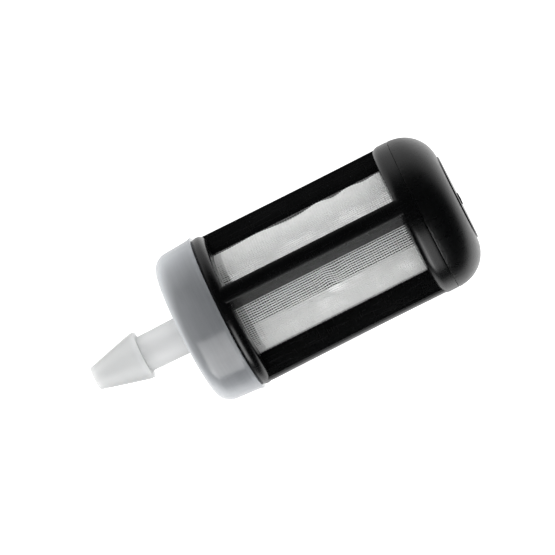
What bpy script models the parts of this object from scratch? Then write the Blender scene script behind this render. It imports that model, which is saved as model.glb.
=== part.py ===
"""In-tank fuel pickup filter for a small two-stroke engine.

The filter lies along the X axis.  The hose nipple points to -X and the closed
black nose points to +X.  +Z is up.  The origin is on the filter's axis, midway
between the nipple's tip and the gate mark on the nose.

All stations along the axis are given as s, the distance in millimetres from
the nipple's tip.  All turned pieces share one segment count and one phase, so
that the small running gaps between them stay even all the way round.
"""

import math

import bmesh
import bpy
from mathutils import Matrix

for _ob in list(bpy.data.objects):
    bpy.data.objects.remove(_ob, do_unlink=True)

# ---------------------------------------------------------------- dimensions
MM = 0.001                 # millimetre in metres
SEG = 64                   # segments round every large turned piece
SEG_SMALL = 64             # segments round the nipple

OVERALL = 42.33            # nipple tip to the top of the gate mark
GAP = 0.05                 # running gap between neighbouring pieces

# hose nipple
TIP_R = 1.245              # barb radius at the tip
BARB_R = 2.62              # largest barb radius
BARB_END = 5.72            # back edge of the barb
SHANK_R0, SHANK_R1 = 1.96, 2.04   # shank radius at the barb, and at the cap
BORE_R = 0.80              # fuel passage
FUNNEL_R = 2.60            # the passage opens out where it meets the screen chamber
NIPPLE_FLANGE_R = 7.35     # clamped between the base cap and the cage's neck
FLANGE_T = 0.90
SPIGOT_T = 0.75            # length of the spigot that closes the neck

# grey base cap
CAP_REAR = 10.71           # flat rear face, the hose stops against it
CAP_WALL = 1.20            # thickness of the rear wall
CAP_CORNER = 1.69          # radius of the rear corner
CAP_R0, CAP_R1 = 8.41, 8.56   # outside radius after the corner, and before the lip
LIP_R = 8.70               # flared lip
LIP_END = 15.45
CAP_BORE_R = 7.45          # inside radius of the skirt

# black cage
NECK_R = CAP_BORE_R - GAP
CAGE_BORE_R = 5.98         # bore that holds the screen
BEAD_START = 15.50         # the half-round bead shows from here on
BEAD_MID, BEAD_ROUND = 15.96, 0.86   # its middle and its cross-section radius
BEAD_R = 8.42
NECK_START = CAP_REAR + CAP_WALL + 0.04 + FLANGE_T + GAP
END_WALL = 37.20           # inner face of the wall that closes the cage at the nose
RIB_COUNT = 4
# a rib's crest: flush with the bead, a little lower in the middle, flush with the band
RIB_CREST = ((15.96, 8.400), (20.30, 8.370), (24.70, 8.350), (29.10, 8.340),
             (33.20, 8.352), (37.00, 8.372))
RIB_CROWN = 1.95           # radius of a rib's crowned outer face
RIB_HALF_OUT = 0.86        # half width of a rib on its outer face
RIB_HALF_IN = 1.38         # half width of a rib on its inner face
BAND_START = 36.01         # end of the windows, at the level of the screen
BAND_EDGE = 36.20          # the same wall, at the outside
BAND_CORNER = (0.86, 0.72) # the band's rounded corner, along the axis and across it
BAND_R = 8.39
SEAM = 38.12               # weld line between the band and the nose cap

# black nose cap
DOME_CORNER = 3.74         # radius of the big rounded corner
DOME_R = 8.35
NOSE_FACE = 42.02          # flat end
PAD_R, PAD_H = 4.61, 0.15  # low round pad on the flat end
GATE_R = 0.67              # moulding gate mark on the pad
GATE_OFFSET = (-0.254, -0.055)    # its offset from the axis, in Y and Z

# inner pieces
SLEEVE_R, SLEEVE_T = 5.93, 0.24   # woven screen: outside radius, thickness
SLEEVE_START = NECK_START + SPIGOT_T
SLEEVE_END = END_WALL - GAP
WEIGHT_R = 5.20            # ballast weight, sealed in the nose
WEIGHT_START, WEIGHT_END = 38.20, 40.80

CENTRE = OVERALL / 2.0


# ------------------------------------------------------------------- helpers
def material(name, colour, roughness, metallic=0.0):
    mat = bpy.data.materials.new(name)
    mat.use_nodes = True
    bsdf = mat.node_tree.nodes["Principled BSDF"]
    bsdf.inputs["Base Color"].default_value = (*colour, 1.0)
    bsdf.inputs["Roughness"].default_value = roughness
    bsdf.inputs["Metallic"].default_value = metallic
    mat.diffuse_color = (*colour, 1.0)
    return mat


def arc(s, r, radius, start_deg, end_deg, steps):
    """Points of a corner arc about (s, r).  0 degrees is +s, 90 is +r."""
    points = []
    for i in range(steps + 1):
        a = math.radians(start_deg + (end_deg - start_deg) * i / steps)
        points.append((s + radius * math.cos(a), r + radius * math.sin(a)))
    return points


def finish_mesh(bm, mesh, smooth_deg=32.0):
    bmesh.ops.remove_doubles(bm, verts=bm.verts, dist=1e-7)
    bmesh.ops.recalc_face_normals(bm, faces=bm.faces)
    bm.to_mesh(mesh)
    bm.free()
    mesh.shade_smooth()
    mesh.set_sharp_from_angle(angle=math.radians(smooth_deg))
    mesh.update()


def new_object(name, mesh, mat, datum, parent=None):
    """Place a piece so that its local zero sits at station datum."""
    ob = bpy.data.objects.new(name, mesh)
    if mat is not None:
        mesh.materials.append(mat)
    ob.location = ((datum - CENTRE) * MM, 0.0, 0.0)
    bpy.context.scene.collection.objects.link(ob)
    if parent is not None:
        ob.parent = parent
    return ob


def spin_profile(bm, profile, datum, segments):
    """Turn a profile of (s, r) points about the X axis into a closed body.

    A profile whose two ends lie on the axis gives a solid piece; any other
    profile is joined end to end and gives a ring-shaped one.
    """
    solid = abs(profile[0][1]) < 1e-9 and abs(profile[-1][1]) < 1e-9
    verts = [bm.verts.new(((s - datum) * MM, 0.0, r * MM)) for s, r in profile]
    pairs = list(zip(verts[:-1], verts[1:]))
    if not solid:
        pairs.append((verts[-1], verts[0]))
    edges = [bm.edges.new(p) for p in pairs]
    bmesh.ops.spin(bm, geom=verts + edges, cent=(0.0, 0.0, 0.0),
                   axis=(1.0, 0.0, 0.0), angle=2.0 * math.pi,
                   steps=segments, use_merge=False, use_duplicate=False)
    bmesh.ops.remove_doubles(bm, verts=bm.verts, dist=1e-7)


def turned(name, profile, mat, datum, segments=SEG, parent=None):
    bm = bmesh.new()
    spin_profile(bm, profile, datum, segments)
    mesh = bpy.data.meshes.new(name)
    finish_mesh(bm, mesh)
    return new_object(name, mesh, mat, datum, parent)


def as_guide(ob):
    """A body that only serves a Boolean."""
    ob.hide_render = True
    ob.display_type = "WIRE"
    return ob


def boolean(target, other, operation):
    as_guide(other)
    mod = target.modifiers.new(operation.lower() + "_" + other.name, "BOOLEAN")
    mod.operation = operation
    mod.solver = "EXACT"
    mod.object = other
    return mod


# ---------------------------------------------------------------- the pieces
root = bpy.data.objects.new("fuel_filter_axis", None)
root.empty_display_size = 0.01
bpy.context.scene.collection.objects.link(root)

nylon_white = material("nipple_nylon", (0.78, 0.80, 0.80), 0.38)
cap_grey = material("cap_grey_plastic", (0.30, 0.32, 0.34), 0.36)
cage_black = material("cage_black_plastic", (0.010, 0.011, 0.012), 0.30)
nose_black = material("nose_black_plastic", (0.010, 0.011, 0.012), 0.32)
screen_nylon = material("screen_nylon", (0.84, 0.85, 0.84), 0.50)
weight_steel = material("weight_steel", (0.56, 0.56, 0.55), 0.34, 1.0)


def make_nipple():
    cone_slope = (BARB_R - TIP_R) / 5.31
    tip_round = 0.26
    profile = [(0.0, BORE_R + 0.10)]
    profile += arc(tip_round, TIP_R + cone_slope * tip_round - tip_round,
                   tip_round, 180.0, 100.0, 4)
    profile += [(5.31, BARB_R - 0.005), (BARB_END - 0.07, BARB_R)]
    profile += [(BARB_END, BARB_R - 0.07),
                (BARB_END, SHANK_R0 + 0.10), (BARB_END + 0.10, SHANK_R0)]
    flange_s0 = CAP_REAR + CAP_WALL + 0.04
    flange_s1 = flange_s0 + FLANGE_T
    spigot_r = CAGE_BORE_R - GAP
    spigot_s1 = flange_s1 + SPIGOT_T
    profile += [(flange_s0, SHANK_R1), (flange_s0, NIPPLE_FLANGE_R - 0.12),
                (flange_s0 + 0.12, NIPPLE_FLANGE_R), (flange_s1, NIPPLE_FLANGE_R),
                (flange_s1, spigot_r), (spigot_s1 - 0.15, spigot_r),
                (spigot_s1, spigot_r - 0.15), (spigot_s1, FUNNEL_R),
                (flange_s0 + 0.40, BORE_R), (0.10, BORE_R)]
    return turned("hose_nipple", profile, nylon_white, 0.0, SEG_SMALL, root)


def make_base_cap():
    profile = [(CAP_REAR, SHANK_R1 + 0.08)]
    profile += arc(CAP_REAR + CAP_CORNER, CAP_R0 - CAP_CORNER, CAP_CORNER,
                   180.0, 90.0, 8)
    profile += [(14.70, CAP_R1), (15.15, 8.63), (LIP_END - 0.07, LIP_R),
                (LIP_END, LIP_R - 0.07), (LIP_END, CAP_BORE_R + 0.15),
                (LIP_END - 0.15, CAP_BORE_R)]
    # snap groove for the ridge on the cage's neck
    profile += [(14.35, CAP_BORE_R), (14.25, CAP_BORE_R + 0.16),
                (13.62, CAP_BORE_R + 0.16), (13.52, CAP_BORE_R)]
    inner = CAP_REAR + CAP_WALL
    profile += [(inner + 0.25, CAP_BORE_R), (inner, CAP_BORE_R - 0.25),
                (inner, SHANK_R1 + 0.08)]
    return turned("base_cap", profile, cap_grey, CAP_REAR, SEG, root)


def make_rib(index, datum):
    """One rib of the cage: a drafted bar, wider at the screen than outside."""
    angle = 2.0 * math.pi * index / RIB_COUNT
    bm = bmesh.new()
    rings = []
    for s, r_out in RIB_CREST:
        inner_r = CAGE_BORE_R + 0.05
        slope = (RIB_HALF_IN - RIB_HALF_OUT) / (r_out - inner_r)
        section = []
        # inner face follows the screen
        for i in range(5):
            t = -RIB_HALF_IN + 2.0 * RIB_HALF_IN * i / 4
            section.append((t, math.sqrt(inner_r ** 2 - t ** 2)))
        # side, small edge round, crowned outer face
        upper = [(RIB_HALF_OUT + slope * 0.10, r_out - 0.32),
                 (RIB_HALF_OUT - 0.012, r_out - 0.225)]
        upper += [(t, r_out - t * t / (2.0 * RIB_CROWN)) for t in (0.76, 0.38)]
        section += upper
        section.append((0.0, r_out))
        section += [(-t, h) for t, h in reversed(upper)]
        rings.append([bm.verts.new(((s - datum) * MM, t * MM, h * MM))
                      for t, h in section])
    n = len(rings[0])
    for ring, after in zip(rings[:-1], rings[1:]):
        for i in range(n):
            j = (i + 1) % n
            bm.faces.new((ring[i], ring[j], after[j], after[i]))
    bm.faces.new(rings[0])
    bm.faces.new(list(reversed(rings[-1])))
    bmesh.ops.rotate(bm, verts=bm.verts, cent=(0.0, 0.0, 0.0),
                     matrix=Matrix.Rotation(angle, 3, "X"))
    mesh = bpy.data.meshes.new("rib_%d" % index)
    finish_mesh(bm, mesh)
    return new_object("rib_guide_%d" % index, mesh, None, datum, root)


def make_cage():
    datum = NECK_START
    neck = [(NECK_START, CAGE_BORE_R), (NECK_START, NECK_R - 0.15),
            (NECK_START + 0.15, NECK_R),
            (13.60, NECK_R), (13.72, NECK_R + 0.14), (14.15, NECK_R + 0.14),
            (14.25, NECK_R), (BEAD_START, NECK_R)]
    lead = math.degrees(math.acos((BEAD_START - BEAD_MID) / BEAD_ROUND))
    neck += arc(BEAD_MID, BEAD_R - BEAD_ROUND, BEAD_ROUND, lead, 0.0, 11)
    neck += [(BEAD_MID + BEAD_ROUND, CAGE_BORE_R)]
    cage = turned("cage", neck, cage_black, datum, SEG, root)

    band = [(BAND_START, CAGE_BORE_R)]
    long, tall = BAND_CORNER
    band += [(BAND_EDGE + long * (1.0 - math.sin(a)), BAND_R - tall * (1.0 - math.cos(a)))
             for a in (math.radians(90.0 - 15.0 * i) for i in range(7))]
    band += [(37.60, BAND_R - 0.004), (37.92, BAND_R - 0.018), (SEAM - 0.06, BAND_R - 0.030),
             (SEAM - 0.02, BAND_R - 0.075), (SEAM - 0.02, 7.65), (37.00, 7.65),
             (37.00, 6.75), (SEAM - 0.02, 6.75), (SEAM - 0.02, 0.0)]
    # the wall that closes the screen chamber
    band = [(END_WALL, 0.0), (END_WALL, CAGE_BORE_R)] + band
    band_body = turned("band_guide", band, None, datum, SEG, root)

    for i in range(RIB_COUNT):
        boolean(cage, make_rib(i, datum), "UNION")
    boolean(cage, band_body, "UNION")
    return cage


def make_nose_cap():
    datum = SEAM
    start = SEAM + 0.02
    centre_s = NOSE_FACE - DOME_CORNER
    centre_r = DOME_R - DOME_CORNER
    profile = [(NOSE_FACE + PAD_H, 0.0), (NOSE_FACE + PAD_H, PAD_R - 0.06),
               (NOSE_FACE, PAD_R)]
    profile += arc(centre_s, centre_r, DOME_CORNER, 0.0, 90.0, 10)
    profile += [(start + 0.04, DOME_R - 0.004), (start, DOME_R - 0.050), (start, 7.60),
                (37.05, 7.60), (37.05, 6.80), (39.20, 6.80), (39.90, 6.55),
                (40.30, 5.90), (start + 0.03, 5.90), (start + 0.03, WEIGHT_R + GAP),
                (WEIGHT_END + GAP, WEIGHT_R + GAP), (WEIGHT_END + GAP, 0.0)]
    nose = turned("nose_cap", profile, nose_black, datum, SEG, root)

    top = OVERALL
    low = NOSE_FACE + PAD_H - 0.10
    gate = turned("gate_guide",
                  [(low, 0.0), (low, GATE_R), (top - 0.04, GATE_R),
                   (top, GATE_R - 0.05), (top, 0.0)],
                  None, datum, 24, root)
    gate.location.y += GATE_OFFSET[0] * MM
    gate.location.z += GATE_OFFSET[1] * MM
    boolean(nose, gate, "UNION")
    return nose


def make_screen():
    profile = [(SLEEVE_START + GAP, SLEEVE_R - SLEEVE_T),
               (SLEEVE_START + GAP, SLEEVE_R),
               (SLEEVE_END, SLEEVE_R), (SLEEVE_END, SLEEVE_R - SLEEVE_T)]
    return turned("screen_sleeve", profile, screen_nylon, SLEEVE_START, SEG, root)


def make_weight():
    profile = [(WEIGHT_START, 0.0), (WEIGHT_START, WEIGHT_R - 0.30),
               (WEIGHT_START + 0.30, WEIGHT_R), (WEIGHT_END - 0.30, WEIGHT_R),
               (WEIGHT_END, WEIGHT_R - 0.30), (WEIGHT_END, 0.0)]
    return turned("ballast_weight", profile, weight_steel, WEIGHT_START, SEG, root)


make_nipple()
make_base_cap()
make_cage()
make_nose_cap()
make_screen()
make_weight()

bpy.context.view_layer.update()
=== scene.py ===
"""Looks for the in-tank fuel filter: finely turned plastic skins, a woven nylon screen, studio light."""

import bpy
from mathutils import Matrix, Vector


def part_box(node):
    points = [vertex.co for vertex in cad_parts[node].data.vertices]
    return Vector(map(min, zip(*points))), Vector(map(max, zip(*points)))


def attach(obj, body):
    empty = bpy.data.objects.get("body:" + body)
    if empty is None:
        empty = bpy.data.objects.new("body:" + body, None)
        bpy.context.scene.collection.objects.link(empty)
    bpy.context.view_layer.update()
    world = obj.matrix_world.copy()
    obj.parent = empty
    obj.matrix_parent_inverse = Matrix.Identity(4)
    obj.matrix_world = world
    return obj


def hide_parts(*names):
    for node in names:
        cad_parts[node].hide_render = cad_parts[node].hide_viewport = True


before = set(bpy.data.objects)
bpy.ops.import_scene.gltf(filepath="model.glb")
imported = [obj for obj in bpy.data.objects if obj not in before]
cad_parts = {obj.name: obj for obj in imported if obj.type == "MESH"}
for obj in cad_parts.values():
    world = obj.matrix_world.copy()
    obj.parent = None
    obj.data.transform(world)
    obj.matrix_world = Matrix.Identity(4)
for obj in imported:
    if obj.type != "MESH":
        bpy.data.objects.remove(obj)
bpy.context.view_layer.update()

import math

import bmesh
import bpy
import numpy as np
from mathutils import Matrix, Vector

MM = 0.001
X_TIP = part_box("hose_nipple")[0].x          # station s = 0 is the nipple's tip
X_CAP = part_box("base_cap")[0].x             # flat rear face of the grey cap
X_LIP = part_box("base_cap")[1].x
X_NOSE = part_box("nose_cap")[1].x
LIP_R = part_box("base_cap")[1].z / MM
SLEEVE = [(v.x - X_TIP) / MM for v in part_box("screen_sleeve")]
SLEEVE_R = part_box("screen_sleeve")[1].z / MM
BEAD_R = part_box("cage")[1].z / MM
BAND_R = BEAD_R - 0.03
CAP_REAR = (X_CAP - X_TIP) / MM
LIP_END = (X_LIP - X_TIP) / MM
TOP = (X_NOSE - X_TIP) / MM                 # top of the gate mark


# =============================================================== mesh helpers
def fillet(points, steps=6):
    """Closed loop of (s, r, radius) corners -> smooth loop of (s, r)."""
    out = []
    n = len(points)
    for i, (s, r, rad) in enumerate(points):
        if rad <= 0:
            out.append((s, r))
            continue
        p = np.array([s, r])
        a = np.array(points[i - 1][:2]) - p
        b = np.array(points[(i + 1) % n][:2]) - p
        la, lb = np.linalg.norm(a), np.linalg.norm(b)
        a, b = a / la, b / lb
        cosang = float(np.clip(a @ b, -1, 1))
        ang = math.acos(cosang)
        if ang > math.pi - 0.02:
            out.append((s, r))
            continue
        reach = rad / math.tan(ang / 2)
        reach = min(reach, la * 0.48, lb * 0.48)
        rad2 = reach * math.tan(ang / 2)
        bis = (a + b) / np.linalg.norm(a + b)
        c = p + bis * (rad2 / math.sin(ang / 2))
        p0, p1 = p + a * reach, p + b * reach
        a0 = math.atan2(p0[1] - c[1], p0[0] - c[0])
        a1 = math.atan2(p1[1] - c[1], p1[0] - c[0])
        da = (a1 - a0 + math.pi) % (2 * math.pi) - math.pi
        for k in range(steps + 1):
            t = a0 + da * k / steps
            out.append((c[0] + rad2 * math.cos(t), c[1] + rad2 * math.sin(t)))
    return out


def arc(s, r, radius, a0, a1, steps):
    out = []
    for i in range(steps + 1):
        a = math.radians(a0 + (a1 - a0) * i / steps)
        out.append((s + radius * math.cos(a), r + radius * math.sin(a)))
    return out


def spread(p, q, n):
    """n points strictly between p and q."""
    return [(p[0] + (q[0] - p[0]) * k / (n + 1), p[1] + (q[1] - p[1]) * k / (n + 1))
            for k in range(1, n + 1)]


def smooth_mesh(name, verts, faces, angle=30.0):
    me = bpy.data.meshes.new(name)
    me.from_pydata([tuple(v) for v in verts], [], faces)
    me.validate()
    bm = bmesh.new()
    bm.from_mesh(me)
    bmesh.ops.recalc_face_normals(bm, faces=bm.faces)
    bm.to_mesh(me)
    bm.free()
    me.shade_smooth()
    me.set_sharp_from_angle(angle=math.radians(angle))
    ob = bpy.data.objects.new(name, me)
    bpy.context.scene.collection.objects.link(ob)
    return ob


def angle_list(seg, fine=()):
    """Even angles plus closely spaced ones round each fine angle (centre, half width in radians)."""
    base = [2 * math.pi * k / seg for k in range(seg)]
    extra = []
    for centre, half in fine:
        centre %= 2 * math.pi
        base = [b for b in base if abs((b - centre + math.pi) % (2 * math.pi) - math.pi) > half * 1.15]
        extra += [(centre + half * t) % (2 * math.pi) for t in (-1, -0.6, -0.3, 0.0, 0.3, 0.6, 1)]
    return sorted(base + extra)


def turn(name, profile, seg=256, fine=(), shape=None, angle=30.0):
    """Turned body about X.  profile: closed (s, r) loop in mm; a loop whose two ends are on the axis is a solid one.
    shape(s, r, a) may return a radial offset in mm for arrays of points."""
    angles = np.array(angle_list(seg, fine))
    prof = np.array(profile, float)
    solid = prof[0, 1] < 1e-9 and prof[-1, 1] < 1e-9
    rows, poles = [], {}
    verts = []
    na = len(angles)
    for i, (s, r) in enumerate(prof):
        if r < 1e-9:
            poles[i] = len(verts)
            verts.append((X_TIP + s * MM, 0.0, 0.0))
            rows.append(None)
            continue
        rows.append(len(verts))
        rr = np.full(na, r)
        ss = np.full(na, s)
        if shape is not None:
            rr = rr + shape(ss, rr, angles)
        verts += [(X_TIP + s * MM, -rr[k] * MM * math.sin(angles[k]), rr[k] * MM * math.cos(angles[k]))
                  for k in range(na)]
    faces = []
    pairs = [(i, i + 1) for i in range(len(prof) - 1)]
    if not solid:
        pairs.append((len(prof) - 1, 0))
    for i, j in pairs:
        a, b = rows[i], rows[j]
        for k in range(na):
            k2 = (k + 1) % na
            if a is None and b is None:
                continue
            if a is None:
                faces.append((poles[i], b + k2, b + k))
            elif b is None:
                faces.append((a + k, a + k2, poles[j]))
            else:
                faces.append((a + k, a + k2, b + k2, b + k))
    return smooth_mesh(name, verts, faces, angle)


def union(base, *others):
    """Exact union, applied."""
    for o in others:
        m = base.modifiers.new("u", "BOOLEAN")
        m.operation, m.solver, m.object = "UNION", "EXACT", o
    bpy.context.view_layer.update()
    dg = bpy.context.evaluated_depsgraph_get()
    me = bpy.data.meshes.new_from_object(base.evaluated_get(dg))
    base.modifiers.clear()
    base.data = me
    for o in others:
        bpy.data.objects.remove(o, do_unlink=True)
    return base


def value_noise(seed, nx, ny, wrap_y=True):
    rng = np.random.default_rng(seed)
    g = rng.uniform(-1, 1, (nx + 3, ny))
    if not wrap_y:
        g = rng.uniform(-1, 1, (nx + 3, ny + 3))

    def f(x, y):
        """x in 0..nx, y in 0..ny (wrapped); smooth bicubic-like blend."""
        xi = np.clip(np.floor(x).astype(int), 0, nx + 1)
        fx = np.clip(x - xi, 0, 1)
        fx = fx * fx * (3 - 2 * fx)
        yi = np.floor(y).astype(int)
        fy = y - yi
        fy = fy * fy * (3 - 2 * fy)
        m = g.shape[1]
        y0, y1 = yi % m, (yi + 1) % m
        return ((g[xi, y0] * (1 - fx) + g[xi + 1, y0] * fx) * (1 - fy)
                + (g[xi, y1] * (1 - fx) + g[xi + 1, y1] * fx) * fy)
    return f


# ============================================================ material helpers
class Nodes:
    def __init__(self, name, world=False):
        self.mat = bpy.data.worlds.new(name) if world else bpy.data.materials.new(name)
        self.mat.use_nodes = True
        self.t = self.mat.node_tree
        self.t.nodes.clear()
        self.out = self.t.nodes.new("ShaderNodeOutputWorld" if world else "ShaderNodeOutputMaterial")
        self.coord = self.t.nodes.new("ShaderNodeTexCoord")

    def node(self, kind, **values):
        n = self.t.nodes.new(kind)
        for k, v in values.items():
            if hasattr(n, k) and k not in n.inputs:
                setattr(n, k, v)
            else:
                n.inputs[k].default_value = v
        return n

    def link(self, a, b):
        self.t.links.new(a, b)

    def mapped(self, scale):
        """Object coordinates in millimetres, stretched."""
        m = self.node("ShaderNodeMapping")
        m.inputs["Scale"].default_value = [c / MM for c in scale]
        self.link(self.coord.outputs["Object"], m.inputs["Vector"])
        return m.outputs["Vector"]

    def noise(self, scale, detail=2.0, rough=0.5, distortion=0.0, seed=0.0):
        n = self.t.nodes.new("ShaderNodeTexNoise")
        n.noise_dimensions = "4D"
        n.inputs["W"].default_value = seed
        n.inputs["Scale"].default_value = 1.0
        n.inputs["Detail"].default_value = detail
        n.inputs["Roughness"].default_value = rough
        n.inputs["Distortion"].default_value = distortion
        self.link(self.mapped(scale), n.inputs["Vector"])
        return n.outputs["Fac"]

    def ramp(self, fac, stops):
        """stops: (pos, value) or (pos, (r, g, b))."""
        r = self.t.nodes.new("ShaderNodeValToRGB")
        e = r.color_ramp.elements
        while len(e) < len(stops):
            e.new(0.5)
        for el, (p, c) in zip(e, stops):
            el.position = p
            c = (c, c, c) if not isinstance(c, (tuple, list)) else c
            el.color = (*c, 1.0)
        self.link(fac, r.inputs["Fac"])
        return r.outputs["Color"]

    def along(self, axis):
        """Component of the direction (world shader) or place (material) along an axis."""
        d = self.t.nodes.new("ShaderNodeVectorMath")
        d.operation = "DOT_PRODUCT"
        d.inputs[1].default_value = tuple(axis)
        self.link(self.coord.outputs["Generated"], d.inputs[0])
        return d.outputs["Value"]

    def smooth(self, value, lo, hi, out_lo=0.0, out_hi=1.0):
        m = self.t.nodes.new("ShaderNodeMapRange")
        m.interpolation_type = "SMOOTHSTEP"
        for i, v in enumerate((value, lo, hi, out_lo, out_hi)):
            if isinstance(v, (int, float)):
                m.inputs[i].default_value = v
            else:
                self.link(v, m.inputs[i])
        return m.outputs[0]

    def math(self, op, a, b=None, c=None, clamp=False):
        m = self.t.nodes.new("ShaderNodeMath")
        m.operation = op
        m.use_clamp = clamp
        for i, v in enumerate((a, b, c)):
            if v is None:
                continue
            if isinstance(v, (int, float)):
                m.inputs[i].default_value = v
            else:
                self.link(v, m.inputs[i])
        return m.outputs[0]

    def mix(self, fac, a, b):
        m = self.t.nodes.new("ShaderNodeMix")
        m.data_type = "RGBA"
        for sock, v in ((m.inputs[0], fac), (m.inputs[6], a), (m.inputs[7], b)):
            if isinstance(v, (int, float)):
                sock.default_value = v
            elif isinstance(v, (tuple, list)):
                sock.default_value = (*v, 1.0)
            else:
                self.link(v, sock)
        return m.outputs[2]

    def bump(self, height, strength, distance_mm, normal=None):
        b = self.t.nodes.new("ShaderNodeBump")
        b.inputs["Strength"].default_value = strength
        b.inputs["Distance"].default_value = distance_mm * MM
        self.link(height, b.inputs["Height"])
        if normal is not None:
            self.link(normal, b.inputs["Normal"])
        return b.outputs["Normal"]

    def principled(self, **kw):
        p = self.t.nodes.new("ShaderNodeBsdfPrincipled")
        for k, v in kw.items():
            k = k.replace("_", " ")
            if v is None:
                continue
            if isinstance(v, (int, float)):
                p.inputs[k].default_value = v
            elif isinstance(v, (tuple, list)):
                p.inputs[k].default_value = v if len(v) != 3 or k == "Subsurface Radius" else (*v, 1.0)
            else:
                self.link(v, p.inputs[k])
        return p

    def finish(self, shader):
        self.link(shader, self.out.inputs["Surface"])
        return self.mat


def black_plastic(name, rough=0.27, seed=0.0, weld=False):
    n = Nodes(name)
    broad = n.noise((0.35, 0.35, 0.35), 3.0, 0.55, seed=seed)
    fine = n.noise((5.0, 5.0, 5.0), 3.0, 0.6, seed=seed + 3)
    flow = n.noise((0.25, 3.2, 3.2), 3.0, 0.6, 0.4, seed=seed + 5)       # drawn out along the axis
    scuff = n.noise((9.0, 1.1, 1.1), 2.0, 0.5, 0.2, seed=seed + 9)       # short rubs round the piece
    colour = n.ramp(broad, [(0.25, (0.0011, 0.0013, 0.0015)), (0.75, (0.0022, 0.0025, 0.0028))])
    base = n.ramp(flow, [(0.3, rough - 0.045), (0.7, rough + 0.045)])
    rub = n.ramp(scuff, [(0.60, 0.0), (0.78, 0.10)])
    r = n.math("ADD", base, rub)
    nrm = n.bump(flow, 0.30, 0.012)
    nrm = n.bump(fine, 0.35, 0.004, nrm)
    p = n.principled(Base_Color=colour, Roughness=r, IOR=1.50, Normal=nrm)
    if weld:
        # the pad and the broken gate mark on the flat end are dull
        sep = n.t.nodes.new("ShaderNodeSeparateXYZ")
        n.link(n.coord.outputs["Object"], sep.inputs[0])
        dull = n.smooth(sep.outputs[0], X_NOSE - 0.155 * MM, X_NOSE - 0.135 * MM)
        n.link(n.math("ADD", r, n.math("MULTIPLY", dull, 0.35)), p.inputs["Roughness"])
        n.link(n.math("MULTIPLY_ADD", dull, -0.40, 0.5), p.inputs["Specular IOR Level"])
    return n.finish(p.outputs[0])


def grey_plastic(name):
    n = Nodes(name)
    broad = n.noise((0.30, 0.30, 0.30), 3.0, 0.5, seed=2.0)
    rings = n.noise((2.6, 0.16, 0.16), 4.0, 0.65, 0.3, seed=4.0)         # faint marks round the cap
    fine = n.noise((6.0, 6.0, 6.0), 3.0, 0.6, seed=6.0)
    patch = n.noise((0.55, 1.1, 1.1), 2.0, 0.5, seed=8.0)
    # painted light and shade: the base colour is paler towards the rear wall, standing in for light coming through the
    # translucent resin there, and darker towards the lip, where the black cage behind the wall shades it
    sep = n.t.nodes.new("ShaderNodeSeparateXYZ")
    n.link(n.coord.outputs["Object"], sep.inputs[0])
    place = n.math("DIVIDE", n.math("SUBTRACT", sep.outputs[0], X_CAP), LIP_END * MM - CAP_REAR * MM)
    painted_cap_light = n.ramp(place, [(0.0, (0.290, 0.300, 0.312)), (0.22, (0.258, 0.268, 0.280)), (0.46, (0.208, 0.217, 0.228)),
                          (0.72, (0.172, 0.180, 0.191)), (1.0, (0.160, 0.168, 0.178))])
    # painted light: the colour is brighter where the wall is seen edge on, standing in for light coming through it
    lw = n.node("ShaderNodeLayerWeight")
    lw.inputs["Blend"].default_value = 0.5
    painted_rim_light = n.ramp(lw.outputs["Facing"], [(0.0, 0.333), (0.15, 0.305), (0.32, 0.385), (0.62, 0.63), (1.0, 0.74)])
    m2 = n.node("ShaderNodeVectorMath", operation="MULTIPLY")
    n.link(painted_cap_light, m2.inputs[0])
    n.link(painted_rim_light, m2.inputs[1])
    m3 = n.node("ShaderNodeVectorMath", operation="SCALE")
    n.link(m2.outputs[0], m3.inputs[0])
    m3.inputs["Scale"].default_value = 2.88
    painted_cap_light = m3.outputs[0]
    tint = n.mix(n.ramp(broad, [(0.3, 0.0), (0.7, 0.10)]), painted_cap_light, (0.40, 0.41, 0.42))
    tint2 = n.mix(n.ramp(rings, [(0.35, 0.0), (0.75, 0.08)]), tint, (0.45, 0.46, 0.47))
    rough = n.math("ADD", n.ramp(rings, [(0.3, 0.08), (0.7, 0.19)]), n.ramp(patch, [(0.35, 0.0), (0.75, 0.06)]))
    nrm = n.bump(rings, 0.40, 0.016)
    nrm = n.bump(patch, 0.30, 0.010, nrm)
    nrm = n.bump(fine, 0.25, 0.004, nrm)
    p = n.principled(Base_Color=tint2, Roughness=rough, IOR=1.58, Normal=nrm,
                     Subsurface_Weight=0.35, Subsurface_Radius=(0.7, 0.7, 0.7), Subsurface_Scale=0.001)
    return n.finish(p.outputs[0])


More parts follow.
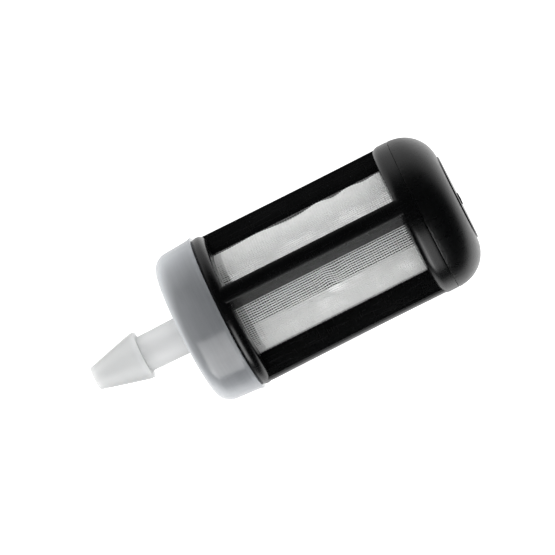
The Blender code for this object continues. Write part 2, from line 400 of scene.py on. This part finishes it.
def nylon(name):
    n = Nodes(name)
    broad = n.noise((0.45, 0.45, 0.45), 3.0, 0.5, seed=12.0)
    fine = n.noise((5.0, 5.0, 5.0), 3.0, 0.6, seed=13.0)
    flow = n.noise((0.3, 2.2, 2.2), 2.0, 0.5, 0.3, seed=14.0)
    colour = n.ramp(broad, [(0.3, (0.915, 0.930, 0.932)), (0.7, (0.940, 0.952, 0.952))])
    # painted shade: the colour is darker on the hollow barb than on the shank, standing in for the barb passing less
    # light on, and darker where the skin is seen edge on
    sep = n.t.nodes.new("ShaderNodeSeparateXYZ")
    n.link(n.coord.outputs["Object"], sep.inputs[0])
    painted_barb_shade = n.smooth(sep.outputs[0], X_TIP + 4.9 * MM, X_TIP + 6.3 * MM, 0.66, 0.86)
    lw = n.node("ShaderNodeLayerWeight")
    lw.inputs["Blend"].default_value = 0.5
    painted_nipple_shade = n.math("MULTIPLY", painted_barb_shade, n.smooth(lw.outputs["Facing"], 0.05, 0.75, 1.0, 0.67))
    dim = n.node("ShaderNodeVectorMath", operation="SCALE")
    n.link(colour, dim.inputs[0])
    n.link(painted_nipple_shade, dim.inputs["Scale"])
    colour = dim.outputs[0]
    rough = n.ramp(flow, [(0.3, 0.42), (0.7, 0.54)])
    nrm = n.bump(flow, 0.25, 0.012)
    nrm = n.bump(fine, 0.25, 0.004, nrm)
    p = n.principled(Base_Color=colour, Roughness=rough, IOR=1.46, Normal=nrm,
                     Subsurface_Weight=1.0, Subsurface_Radius=(1.0, 1.0, 0.98), Subsurface_Scale=0.0040)
    return n.finish(p.outputs[0])


def thread(name, colour=(0.985, 0.99, 0.985), seed=20.0):
    n = Nodes(name)
    broad = n.noise((0.5, 0.5, 0.5), 3.0, 0.55, seed=seed)
    fine = n.noise((14.0, 14.0, 14.0), 2.0, 0.5, seed=seed + 1)
    c = n.ramp(broad, [(0.3, tuple(x * 0.97 for x in colour)), (0.7, colour)])
    speck = n.noise((2.6, 2.6, 2.6), 2.0, 0.6, seed=seed + 2)
    c = n.mix(n.ramp(speck, [(0.38, 0.07), (0.58, 0.0)]), c, (0.50, 0.51, 0.52))
    # the cage is moulded through the fabric: black resin fills it behind each rib
    sep = n.t.nodes.new("ShaderNodeSeparateXYZ")
    n.link(n.coord.outputs["Object"], sep.inputs[0])
    off = n.math("MINIMUM", n.math("ABSOLUTE", sep.outputs[1]), n.math("ABSOLUTE", sep.outputs[2]))
    resin_and_shade = n.math("MAXIMUM", n.smooth(off, 1.36 * MM, 1.26 * MM),
                  n.smooth(sep.outputs[0], X_TIP + 16.86 * MM, X_TIP + 16.76 * MM))
    resin_and_shade = n.math("MAXIMUM", resin_and_shade, n.smooth(sep.outputs[0], X_TIP + 35.98 * MM, X_TIP + 36.08 * MM))
    # painted shade: the threads are darkened a little beside the side ribs on the +Z side, and next to the neck, where
    # the bead shades them
    painted_thread_shade = n.math("MULTIPLY", n.smooth(sep.outputs[2], 1.80 * MM, 1.56 * MM, 0.0, 0.30),
                  n.smooth(sep.outputs[2], 0.2 * MM, 0.6 * MM))
    painted_thread_shade = n.math("MAXIMUM", painted_thread_shade, n.smooth(sep.outputs[0], X_TIP + 17.70 * MM, X_TIP + 17.50 * MM, 0.0, 0.22))
    resin_and_shade = n.math("MAXIMUM", resin_and_shade, painted_thread_shade)
    # the mask blackens the threads under the ribs and ends, where resin fills them, and adds the painted shade
    c = n.mix(resin_and_shade, c, (0.012, 0.012, 0.013))
    rough = n.ramp(fine, [(0.3, 0.30), (0.7, 0.42)])
    nrm = n.bump(fine, 0.2, 0.004)
    p = n.principled(Base_Color=c, Roughness=rough, IOR=1.53, Normal=nrm)
    tr = n.node("ShaderNodeBsdfTranslucent")
    n.link(c, tr.inputs["Color"])
    mx = n.node("ShaderNodeMixShader")
    mx.inputs[0].default_value = 0.42
    n.link(p.outputs[0], mx.inputs[1])
    n.link(tr.outputs[0], mx.inputs[2])
    return n.finish(mx.outputs[0])


def steel(name):
    n = Nodes(name)
    turn_marks = n.noise((10.0, 0.5, 0.5), 3.0, 0.6, seed=30.0)
    broad = n.noise((0.6, 0.6, 0.6), 3.0, 0.5, seed=31.0)
    colour = n.ramp(broad, [(0.3, (0.50, 0.50, 0.48)), (0.7, (0.60, 0.60, 0.58))])
    rough = n.ramp(turn_marks, [(0.3, 0.28), (0.7, 0.42)])
    nrm = n.bump(turn_marks, 0.3, 0.01)
    p = n.principled(Base_Color=colour, Roughness=rough, Metallic=1.0, Normal=nrm)
    return n.finish(p.outputs[0])


def give(ob, mat, node=None):
    ob.data.materials.clear()
    ob.data.materials.append(mat)
    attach(ob, "root")
    if node:
        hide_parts(node)
    return ob


# ================================================================ hose nipple
def make_nipple():
    tip_r, barb_r, barb_end = 1.245, 2.62, 5.72
    shank0, shank1 = 1.96, 2.04
    bore = 0.80
    flange0 = CAP_REAR + 1.24
    flange1 = flange0 + 0.90
    slope = (barb_r - tip_r) / 5.31
    loop = [(0.0, bore + 0.12, 0.04), (0.0, tip_r + 0.01, 0.30)]
    for s in (1.2, 2.4, 3.6, 4.8):
        bow = 0.018 * math.sin(math.pi * s / 5.3)
        loop.append((s, tip_r + slope * s + bow, 0))
    loop += [(5.36, barb_r, 0.35), (barb_end, barb_r - 0.015, 0.055),
             (barb_end, shank0, 0.12)]
    for k in range(1, 5):
        s = barb_end + (CAP_REAR - barb_end) * k / 5
        loop.append((s, shank0 + (shank1 - shank0) * k / 5, 0))
    loop += [(flange0, shank1, 0.05), (flange0, 7.35, 0.12), (flange1, 7.35, 0.05),
             (flange1, 5.93, 0.03), (flange1 + 0.75, 5.93, 0.15), (flange1 + 0.75, 2.60, 0.10),
             (flange0 + 0.40, bore, 0.3), (0.10, bore, 0.04)]
    prof = fillet(loop, 7)
    # two fine mould lines along the nipple, a quarter turn from the rib on top
    lines = ((math.radians(90), 0.030), (math.radians(270), 0.030))

    def ridge(s, r, a):
        out = np.zeros_like(r)
        keep = (s < CAP_REAR) & (s > 0.35) & (r > 1.2)
        for c, h in lines:
            d = (a - c + math.pi) % (2 * math.pi) - math.pi
            out += keep * 0.014 * np.clip(1 - np.abs(d) / h, 0, 1)
        return out
    ob = turn("nipple", prof, 160, lines, ridge)
    return give(ob, nylon("white_nylon"), "hose_nipple")


# =================================================================== grey cap
def make_cap():
    hole, wall, bore = 2.12, 1.20, 7.45
    rear = CAP_REAR
    loop = [(rear, hole, 0.06)]
    loop = fillet([(rear, hole, 0.06), (rear, 6.72, 0), (rear + 1.0, 7.0, 0)], 4)[:-2]
    prof = loop + arc(rear + 1.69, 6.72, 1.69, 180, 93, 28)
    prof += spread((12.40, 8.41), (14.60, 8.555), 3)
    tail = [(14.60, 8.555, 0.8), (15.05, 8.600, 0.6), (LIP_END - 0.10, LIP_R, 0.10),
            (LIP_END, LIP_R - 0.03, 0.05), (LIP_END, 8.10, 0.08), (LIP_END - 0.18, 7.62, 0.10),
            (LIP_END - 0.30, bore, 0.08),
            (14.35, bore, 0.03), (14.25, bore + 0.16, 0.03), (13.62, bore + 0.16, 0.03),
            (13.52, bore, 0.03), (rear + wall, bore, 0.25), (rear + wall, hole, 0.06)]
    closed = [(12.40, 8.41, 0)] + tail + [(rear, hole, 0.06), (rear, 6.72, 0)]
    done = fillet(closed, 6)
    # keep only the run from the skirt round to the hole
    prof += done[1:-8]
    rng_f = value_noise(5, 24, 90)

    def waver(s, r, a):
        """The thin lip isn't perfectly round, and the skirt has a trace of sink."""
        lip = np.clip((s - 14.9) / 0.5, 0, 1) * (r > 8.2)
        w = rng_f(s * 0 + 3.0, a * 90 / (2 * math.pi))
        body = rng_f((s - 10) * 1.6, a * 18 / (2 * math.pi) + 7) * (r > 8.0)
        return lip * (0.014 * w - 0.014) + 0.005 * body * (s > 12.0) - 0.003
    ob = turn("grey_cap", prof, 288, (), waver)
    return give(ob, grey_plastic("grey_moulded"), "base_cap")


# ================================================================= black cage
PART_LINE = math.radians(90.0)      # mould line runs down the rib on -Y and the one on +Y
PART_OFF = math.radians(1.9)


# crest of a rib: flush with the bead, a little lower in the middle, flush with the band
RIB_CREST = ((15.96, 8.400), (20.30, 8.370), (24.70, 8.350), (29.10, 8.340), (33.20, 8.352), (37.00, 8.372))
RIB_CROWN = 1.95


def rib_body(k):
    """One rib with a crowned outer face, rounded edges, and a mould line on two of them."""
    angle = math.pi / 2 * k
    s0, s1 = RIB_CREST[0][0], RIB_CREST[-1][0]
    st = 45
    r_in = 6.02
    half_out, half_in, e = 0.86, 1.38, 0.10
    verts, rings = [], []
    wob = value_noise(40 + k, 12, 4)
    for i in range(st):
        f = i / (st - 1)
        s = s0 + (s1 - s0) * f
        r_out = float(np.interp(s, [q[0] for q in RIB_CREST], [q[1] for q in RIB_CREST]))
        ease = min(1.0, f / 0.06, (1 - f) / 0.06)
        if k == 1:
            r_out += 0.060 * min(1.0, f / 0.04) * (1 - f) ** 1.5
        side = 0.006 * ease * float(wob(np.array(f * 11.0), np.array(0.0)))
        sink = 0.004 + 0.004 * float(wob(np.array(f * 11.0), np.array(1.0)))

        def crown(t):
            return r_out - t * t / (2 * RIB_CROWN) - sink * max(0.0, 1 - (t / 0.5) ** 2)
        edge = half_out - e * 0.8
        low = crown(edge) - e
        slope = (half_in - half_out) / (low - r_in)
        sec = []
        for j in range(9):
            t = -half_in + 2 * half_in * j / 8
            sec.append((t, math.sqrt(r_in ** 2 - t ** 2)))
        for j in range(1, 6):
            h = r_in + (low - r_in) * j / 5.2
            sec.append((half_in - slope * (h - r_in), h))
        for j in range(7):
            a = math.radians(8 + 66 * j / 6)
            sec.append((edge + e * 0.8 * math.cos(a), low + e * math.sin(a) * 0.98))
        for j in range(1, 14):
            t = edge * (1 - 2 * j / 14)
            sec.append((t, crown(t)))
        for j in range(7):
            a = math.radians(74 - 66 * j / 6)
            sec.append((-edge - e * 0.8 * math.cos(a), low + e * math.sin(a) * 0.98))
        for j in range(5, 0, -1):
            h = r_in + (low - r_in) * j / 5.2
            sec.append((-(half_in - slope * (h - r_in)), h))
        if k in (1, 3):
            # fine mould line, a little off the rib's middle
            off = 8.3 * PART_OFF * (1 if k == 3 else -1)
            cut = [q for q in sec if not (abs(q[0] - off) < 0.058 and q[1] > r_out - 0.08)]
            idx = max(i2 for i2, q in enumerate(cut) if q[0] > off and q[1] > r_out - 0.30)
            line = [(off + 0.050, crown(off + 0.05)), (off + 0.018, crown(off) + 0.020),
                    (off - 0.018, crown(off) + 0.020), (off - 0.050, crown(off - 0.05))]
            sec = cut[:idx + 1] + line + cut[idx + 1:]
        ca, sa = math.cos(angle), math.sin(angle)
        row = []
        for t, h in sec:
            t += side
            row.append(len(verts))
            y, z = t, h
            verts.append((X_TIP + s * MM, (y * ca - z * sa) * MM, (y * sa + z * ca) * MM))
        rings.append(row)
    faces = []
    m = len(rings[0])
    for i in range(st - 1):
        for j in range(m):
            j2 = (j + 1) % m
            faces.append((rings[i][j], rings[i][j2], rings[i + 1][j2], rings[i + 1][j]))
    faces.append(tuple(rings[0]))
    faces.append(tuple(reversed(rings[-1])))
    return smooth_mesh("rib_%d" % k, verts, faces, 28)


def make_cage():
    neck0 = CAP_REAR + 1.24 + 0.90 + 0.05
    bore = 5.98
    neck_r = 7.40
    bead_s, bead_r, bead = 15.96, 0.86, BEAD_R - 0.004      # a half-round bead stands proud at the cap's lip
    bead_0 = math.degrees(math.acos((15.50 - bead_s) / bead_r))
    loop = fillet([(neck0, bore, 0.06), (neck0, neck_r, 0.15), (13.60, neck_r, 0.03), (13.72, neck_r + 0.14, 0.04),
                   (14.15, neck_r + 0.14, 0.04), (14.25, neck_r, 0.03), (15.50, neck_r, 0.02), (15.50, 7.8, 0),
                   (16.82, 7.8, 0), (bead_s + bead_r, bore, 0.06)], 5)
    cut = [i for i, q in enumerate(loop) if q[1] == 7.8]
    loop = loop[:cut[0]] + arc(bead_s, bead - bead_r, bead_r, bead_0, 0, 30) + loop[cut[1] + 1:]
    part = ((PART_LINE + PART_OFF, 0.010), (PART_LINE + math.pi - PART_OFF, 0.010))

    def line(s, r, a):
        out = np.zeros_like(r)
        keep = (r > 8.0)
        for c, h in part:
            d = (a - c + math.pi) % (2 * math.pi) - math.pi
            out += keep * 0.018 * np.clip(1 - np.abs(d) / h, 0, 1)
        return out
    neck = turn("cage", loop, 288, part, line)

    seam = 38.12
    loop = [(37.20, 0.0, 0), (37.20, bore, 0.10), (36.01, bore, 0.05), (36.26, 7.70, 0)]
    prof = fillet([(37.20, 0.0, 0), (37.20, bore, 0.08), (36.01, bore, 0.05), (36.19, 7.62, 0), (36.34, 8.0, 0)], 5)[:-1]
    band = BAND_R - 0.004
    prof += [(37.06 - 0.86 * math.sin(a), band - 0.72 * (1 - math.cos(a)))
             for a in (math.radians(90 - 4.5 * i) for i in range(20))]
    prof += [(37.25, band), (37.50, band - 0.001), (37.75, band - 0.003), (37.95, band - 0.008)]
    tail = fillet([(37.95, band - 0.008, 0), (seam - 0.02, band - 0.020, 0.04), (seam - 0.02, 7.65, 0.03), (37.00, 7.65, 0.05),
                   (37.00, 6.75, 0.05), (seam - 0.02, 6.75, 0.03), (seam - 0.02, 0.0, 0)], 5)
    prof += tail[1:]

    def line2(s, r, a):
        out = np.zeros_like(r)
        keep = (r > 8.0)
        for c, h in part:
            d = (a - c + math.pi) % (2 * math.pi) - math.pi
            out += keep * (0.020 * np.clip(1 - np.abs(d) / h, 0, 1))
        return out - 0.004 * keep
    band = turn("band", prof, 288, part, line2)
    ribs = [rib_body(k) for k in range(4)]
    cage = union(neck, *ribs, band)
    cage.name = "cage_moulding"
    cage.data.shade_smooth()
    cage.data.set_sharp_from_angle(angle=math.radians(26))
    return give(cage, black_plastic("black_cage", 0.25, 1.0), "cage")


# ================================================================== nose cap
def make_nose():
    seam = 38.14
    face = 42.02
    rad, dome = 3.74, BAND_R - 0.04
    pad_r, pad_h = 4.61, 0.15
    cs, cr = face - rad, dome - rad
    prof = [(face + pad_h, 0.0)]
    for r in (0.4, 0.9, 1.6, 2.4, 3.2, 3.9, 4.35):
        prof.append((face + pad_h - 0.006 * (1 - (r / 4.6) ** 2), r))
    prof += fillet([(face + pad_h, 4.35, 0), (face + pad_h, pad_r, 0.09), (face - 0.005, pad_r + 0.05, 0.05),
                    (face, 4.80, 0)], 4)[1:-1]
    prof += arc(cs, cr, rad, 1.2, 90, 44)
    tail = fillet([(38.26, dome, 0), (seam, dome - 0.004, 0.04), (seam, 7.60, 0.03), (37.05, 7.60, 0.05),
                   (37.05, 6.80, 0.05), (39.20, 6.80, 0.3), (39.90, 6.55, 0.3), (40.30, 5.90, 0.2),
                   (seam + 0.03, 5.90, 0.06), (seam + 0.03, 5.25, 0.06), (40.85, 5.25, 0.06), (40.85, 0.0, 0)], 5)
    prof += tail[1:]
    grain = value_noise(8, 40, 720)
    grain2 = value_noise(9, 40, 300)
    part = ((PART_LINE + PART_OFF, 0.010), (PART_LINE + math.pi - PART_OFF, 0.010))

    def weld(s, r, a):
        """A slightly rough strip of weld flash next to the seam."""
        near = np.clip(1 - np.abs(s - (seam + 0.22)) / 0.34, 0, 1) * (r > 8.2)
        rough = grain((s - 37.5) * 14, a * 720 / (2 * math.pi)) + 0.6 * grain2((s - 37.5) * 8, a * 300 / (2 * math.pi))
        fall = np.clip(1 - (s - seam) / 1.0, 0, 1) ** 2
        return near * 0.011 * rough + (0.026 * fall - 0.002) * (r > 8.0)
    # extra stations in the weld strip
    dense = []
    for (p, q) in zip(prof[:-1], prof[1:]):
        dense.append(p)
        if p[1] > 8.2 and q[1] > 8.2 and 38.1 < q[0] < 38.8 and abs(p[0] - q[0]) > 0.05:
            dense += spread(p, q, max(1, int(abs(p[0] - q[0]) / 0.05)))
    dense.append(prof[-1])
    nose = turn("nose_cap_skin", dense, 400, (), weld)

    # gate mark: a small broken-off nub in a shallow ring
    gy, gz = -0.254, -0.055
    low, top = face + pad_h - 0.10, TOP
    g = [(low, 0.0), (low, 0.67)]
    g += fillet([(low, 0.67, 0), (top - 0.045, 0.655, 0.05), (top - 0.02, 0.42, 0.05), (top - 0.06, 0.40, 0.04),
                 (top - 0.05, 0.22, 0.04), (top, 0.20, 0.05), (top, 0.0, 0)], 4)[1:]
    ng = value_noise(11, 12, 24)

    def rough_nub(s, r, a):
        return 0.02 * ng((s - low) * 30, a * 24 / (2 * math.pi)) * (s > low + 0.11)
    gate = turn("gate", g, 64, (), rough_nub)
    gate.data.transform(Matrix.Translation((0, gy * MM, gz * MM)))
    nose = union(nose, gate)
    nose.name = "nose_cap_moulding"
    nose.data.shade_smooth()
    nose.data.set_sharp_from_angle(angle=math.radians(30))
    return give(nose, black_plastic("black_nose", 0.30, 7.0, True), "nose_cap")


# ============================================================== woven screen
AXIAL = 146                 # threads along the filter
AX_D, RING_D = 0.132, 0.084
RING_PITCH = 0.290


def weave_fields():
    low = value_noise(21, 10, 13)
    mid = value_noise(22, 26, 34)

    def place(s, a):
        """Radial offset (mm) and angle shift (radians) of the fabric at station s and angle a.
        Angle 0 is +Z and runs towards -Y."""
        f = np.clip((s - 16.9) / 1.6, 0, 1) * np.clip((36.2 - s) / 1.2, 0, 1)
        # the ribs hold the fabric round; between them it ripples
        q = np.abs(((a + math.pi / 4) % (math.pi / 2)) - math.pi / 4)       # angle from the nearest rib
        free = np.clip((q - 0.215) / 0.20, 0, 1)
        free = free * free * (3 - 2 * free)
        k = f * free
        rad = k * (0.040 * low((s - 16) * 0.47, a * 13 / (2 * math.pi))
                   + 0.022 * mid((s - 16) * 1.2, a * 34 / (2 * math.pi)))
        shift = k * (0.0035 * low((s - 16) * 0.47 + 0.5, a * 13 / (2 * math.pi) + 5))
        # scallops beside the upper rib, where the fabric is gathered unevenly
        top = (a - math.radians(-70.0) + math.pi) % (2 * math.pi) - math.pi
        edge = np.exp(-(top / 0.20) ** 2) * f * np.clip((q - 0.19) / 0.10, 0, 1)
        for sc, wd, amp in ((19.6, 1.2, 0.02), (21.7, 1.5, 0.13), (25.7, 1.9, -0.20), (28.75, 1.0, 0.15),
                            (30.7, 0.8, -0.13), (32.4, 1.0, 0.13), (34.2, 0.6, -0.07), (35.7, 0.7, 0.10)):
            rad = rad + edge * amp * np.exp(-((s - sc) / wd) ** 2)
        # one shallow dent with puckered threads round it
        s0, a0 = 27.05, math.radians(27.0)
        ds, da = (s - s0), (a - a0 + math.pi) % (2 * math.pi) - math.pi
        g = np.exp(-(ds / 0.9) ** 2 - (da / 0.16) ** 2)
        wide = np.exp(-(ds / 1.7) ** 2 - (da / 0.34) ** 2)
        rad = rad - 0.010 * g - 0.012 * wide
        below = np.exp(-(ds / 0.95) ** 2) * np.exp(-((da - 0.20) / 0.27) ** 2)
        cross = (ds / 0.9) * np.exp(-(ds / 0.9) ** 2) * np.exp(-((da + 0.02) / 0.16) ** 2)
        shift = shift - 0.020 * below + 0.050 * cross
        return rad, shift
    return place


def tube_mesh(name, paths, radius, sides, closed, up=None):
    """Round threads along many equal-length paths.  paths: (n, m, 3) points, up: (n, m, 3) outward directions."""
    n, m, _ = paths.shape
    tang = np.roll(paths, -1, 1) - np.roll(paths, 1, 1)
    if not closed:
        tang[:, 0] = paths[:, 1] - paths[:, 0]
        tang[:, -1] = paths[:, -1] - paths[:, -2]
    tang /= np.linalg.norm(tang, axis=2, keepdims=True)
    side = np.cross(tang, up)
    side /= np.linalg.norm(side, axis=2, keepdims=True)
    nor = np.cross(side, tang)
    ang = np.arange(sides) * 2 * math.pi / sides + math.pi / sides
    ring = (nor[:, :, None, :] * np.cos(ang)[None, None, :, None]
            + side[:, :, None, :] * np.sin(ang)[None, None, :, None]) * radius
    verts = (paths[:, :, None, :] + ring).reshape(-1, 3)
    base = (np.arange(n)[:, None, None] * m + np.arange(m)[None, :, None]) * sides + np.arange(sides)[None, None, :]
    nxt = np.roll(base, -1, axis=2)
    if closed:
        b2, n2 = np.roll(base, -1, axis=1), np.roll(nxt, -1, axis=1)
        quads = np.stack([base, nxt, n2, b2], -1).reshape(-1, 4)
    else:
        quads = np.stack([base[:, :-1], nxt[:, :-1], nxt[:, 1:], base[:, 1:]], -1).reshape(-1, 4)
    me = bpy.data.meshes.new(name)
    me.vertices.add(len(verts))
    me.vertices.foreach_set("co", verts.astype(np.float32).ravel())
    loops = quads.ravel()
    nq = len(quads)
    caps = []
    if not closed:
        for t in range(n):
            caps.append(list(reversed(base[t, 0].tolist())))
            caps.append(base[t, -1].tolist())
    total = len(loops) + sum(len(c) for c in caps)
    me.loops.add(total)
    flat = np.concatenate([loops] + [np.array(c) for c in caps]) if caps else loops
    me.loops.foreach_set("vertex_index", flat.astype(np.int32))
    me.polygons.add(nq + len(caps))
    starts = np.concatenate([np.arange(nq) * 4, nq * 4 + np.arange(len(caps)) * sides]) if caps else np.arange(nq) * 4
    me.polygons.foreach_set("loop_start", starts.astype(np.int32))
    me.update(calc_edges=True)
    me.validate()
    me.shade_smooth()
    ob = bpy.data.objects.new(name, me)
    bpy.context.scene.collection.objects.link(ob)
    bm = bmesh.new()
    bm.from_mesh(me)
    bmesh.ops.recalc_face_normals(bm, faces=bm.faces)
    bm.to_mesh(me)
    bm.free()
    return ob


def make_screen():
    place = weave_fields()
    s0, s1 = SLEEVE[0] + 0.10, SLEEVE[1] - 0.10
    rings = int(round((s1 - s0) / RING_PITCH))
    s_ring = s0 + (s1 - s0) * (np.arange(rings) + 0.5) / rings
    r_mid = SLEEVE_R - 0.125
    a_ax = 2 * math.pi * np.arange(AXIAL) / AXIAL + math.radians(1.154)

    # threads along the filter
    m = 112
    s = np.linspace(s0, s1, m)
    S, A = np.meshgrid(s, a_ax)
    rad, sh = place(S, A)
    wav = value_noise(33, m // 4, AXIAL)
    sh = sh + 0.0034 * wav(np.linspace(0, m // 4 - 1, m)[None, :].repeat(AXIAL, 0), np.arange(AXIAL)[:, None].repeat(m, 1) * 1.0)
    R, P = r_mid + rad, A + sh
    path = np.stack([X_TIP + S * MM, -R * np.sin(P) * MM, R * np.cos(P) * MM], -1)
    up = np.stack([np.zeros_like(P), -np.sin(P), np.cos(P)], -1)
    ax = tube_mesh("screen_threads_long", path, AX_D / 2 * MM, 6, False, up)

    # finer threads round the filter, weaving over and under them
    A2, S2 = np.meshgrid(a_ax, s_ring)
    rad, sh = place(S2, A2)
    over = (((np.arange(rings)[:, None] + np.arange(AXIAL)[None, :]) % 2) * 2 - 1)
    R = r_mid + rad + over * (AX_D / 2 + RING_D / 2 - 0.022)
    P = A2 + sh
    path = np.stack([X_TIP + S2 * MM, -R * np.sin(P) * MM, R * np.cos(P) * MM], -1)
    up = np.stack([np.zeros_like(P), -np.sin(P), np.cos(P)], -1)
    rg = tube_mesh("screen_threads_round", path, RING_D / 2 * MM, 4, True, up)
    mat = thread("nylon_thread")
    give(ax, mat, "screen_sleeve")
    give(rg, mat)
    return ax, rg


# ================================================================ assembly
make_nipple()
make_cap()
make_cage()
make_nose()
make_screen()

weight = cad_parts["ballast_weight"]
weight.data.materials.clear()
weight.data.materials.append(steel("weight_steel_turned"))

# ============================================================ stage and light
FLOOR_GLOW = 1.30
SOFTBOX = 1.9
# View axes of the reference angle, written in the part's frame
TILT = math.radians(4.1)        # the nose leans this much towards the camera
ROLL = math.radians(12.25)       # the top rib is turned this much from the camera
INPLANE = math.radians(26.7)    # the axis climbs this much to the right in the image
DIST = 350.0                    # camera distance in mm
PX_MM = 9.647                   # image scale at the axis
OFFSET = (-0.66, 10.18)            # where the frame's origin lands from the image centre, px right and down

n0 = Vector((-math.sin(TILT), 0.0, math.cos(TILT)))            # (u, v, w)
vv = Vector((0.0, 1.0, 0.0))
ax_x = Vector((math.cos(TILT), 0.0, math.sin(TILT)))
ax_z = n0 * math.cos(-ROLL) + vv * math.sin(-ROLL)
ax_y = n0 * math.cos(-ROLL - math.pi / 2) + vv * math.sin(-ROLL - math.pi / 2)


def to_world(u, v, w):
    """A direction given along the view's axes u (right along the filter), v (down across it), w (to the camera)."""
    d = Vector((u, v, w))
    return Vector((d.dot(ax_x), d.dot(ax_y), d.dot(ax_z)))


ca, sa = math.cos(INPLANE), math.sin(INPLANE)
cam_right = to_world(ca, sa, 0.0)
cam_up = to_world(sa, -ca, 0.0)
cam_back = to_world(0.0, 0.0, 1.0)
centre = cam_right * (-OFFSET[0] / PX_MM * MM) + cam_up * (OFFSET[1] / PX_MM * MM)

cam = bpy.data.cameras.new("camera")
cam.sensor_width = 36.0
cam.lens = 36.0 * (PX_MM * DIST) / 555.0
cam.clip_start, cam.clip_end = 0.01, 20.0
cam_ob = bpy.data.objects.new("camera", cam)
rot = Matrix((cam_right, cam_up, cam_back)).transposed()
cam_ob.matrix_world = Matrix.Translation(centre + cam_back * (DIST * MM)) @ rot.to_4x4()
bpy.context.scene.collection.objects.link(cam_ob)
bpy.context.scene.camera = cam_ob

# pale floor, glowing evenly like a light table, so it throws next to no shadow
FLOOR_Z = -LIP_R * MM
bm = bmesh.new()
bmesh.ops.create_grid(bm, x_segments=1, y_segments=1, size=3.0)
me = bpy.data.meshes.new("floor")
bm.to_mesh(me)
bm.free()
floor = bpy.data.objects.new("floor", me)
floor.location.z = FLOOR_Z
bpy.context.scene.collection.objects.link(floor)
nf = Nodes("floor_white")
pf = nf.principled(Base_Color=(0.25, 0.25, 0.25), Roughness=0.8)
em = nf.node("ShaderNodeEmission")
em.inputs["Color"].default_value = (1.0, 1.0, 1.0, 1.0)
em.inputs["Strength"].default_value = FLOOR_GLOW
ad = nf.node("ShaderNodeAddShader")
nf.link(pf.outputs[0], ad.inputs[0])
nf.link(em.outputs[0], ad.inputs[1])
nf.finish(ad.outputs[0])
floor.data.materials.append(nf.mat)
floor.visible_glossy = False        # gloss shows the studio below, which has a soft dark gap at the horizon

# world: dark round the camera, white low down, one long soft box on the near side
n = Nodes("studio", world=True)
bpy.context.scene.world = n.mat
view_u, view_v, view_w = to_world(1, 0, 0), to_world(0, 1, 0), to_world(0, 0, 1)
du, dv, dw = n.along(view_u), n.along(view_v), n.along(view_w)
polar = n.math("DIVIDE", n.math("ARCCOSINE", dw), math.radians(1.0))            # degrees from the camera
flat = n.math("SQRT", n.math("ADD", n.math("MULTIPLY_ADD", du, du, 1e-4), n.math("MULTIPLY", dv, dv)))
q = n.math("DIVIDE", dv, flat)                                                   # -1 far side .. 1 near side
left = n.smooth(n.math("DIVIDE", du, flat), 0.2, -0.7)                           # 1 on the nipple's side
low_left = n.math("MULTIPLY", left, n.math("MULTIPLY", n.smooth(q, -0.15, 0.15), n.smooth(q, 0.80, 0.55)))
edge = n.math("SUBTRACT", n.math("MULTIPLY_ADD", q, 22.0, 98.0), n.math("MULTIPLY", left, 8.0))
edge = n.math("MULTIPLY_ADD", low_left, 26.0, edge)
half = n.math("MULTIPLY_ADD", q, -5.0, 17.0)
ramp = n.smooth(polar, n.math("SUBTRACT", edge, half), n.math("ADD", edge, half))
right = n.math("MULTIPLY", n.smooth(n.math("DIVIDE", du, flat), 0.2, 0.8), n.smooth(polar, 104.0, 122.0))
level = n.math("MULTIPLY_ADD", right, 0.42, n.math("MULTIPLY_ADD", q, 0.14, 0.90))
base = n.math("MULTIPLY_ADD", ramp, level, 0.008)
# the soft box in two angles: across (0 at the camera, 90 at the near horizon) and along the filter
across = n.math("DIVIDE", n.math("ARCTAN2", dv, dw), math.radians(1.0))
along = n.math("DIVIDE", n.math("ARCSINE", du), math.radians(1.0))
body = n.math("MULTIPLY", n.smooth(across, 14.0, 60.0, 0.55, 1.0), n.smooth(across, 19.0, 25.0))
body = n.math("MULTIPLY", body, n.smooth(across, 92.0, 83.0))
body = n.math("MULTIPLY", body, n.smooth(along, 2.5, -3.5))
body = n.math("MULTIPLY", body, n.smooth(along, -54.0, -24.0))
body = n.math("MULTIPLY", body, n.smooth(along, -6.0, -18.0, 1.0, 2.25))
total = n.math("ADD", base, n.math("MULTIPLY", body, SOFTBOX))
path = n.node("ShaderNodeLightPath")
# diffuse and translucent bounces see an even tent that is only a little darker behind the camera
tent = n.smooth(polar, 50.0, 95.0, 0.90, 1.64)
seen = n.mix(path.outputs["Is Diffuse Ray"], total, tent)
seen = n.mix(path.outputs["Is Camera Ray"], seen, (0.96, 0.96, 0.965))
bg = n.node("ShaderNodeBackground")
n.link(seen, bg.inputs["Color"])
n.finish(bg.outputs[0])
n.mat.cycles.sampling_method = "NONE"         # lets each kind of ray find its own surroundings

vs = bpy.context.scene.view_settings
vs.view_transform = "Standard"
vs.look = "None"

bpy.context.view_layer.update()
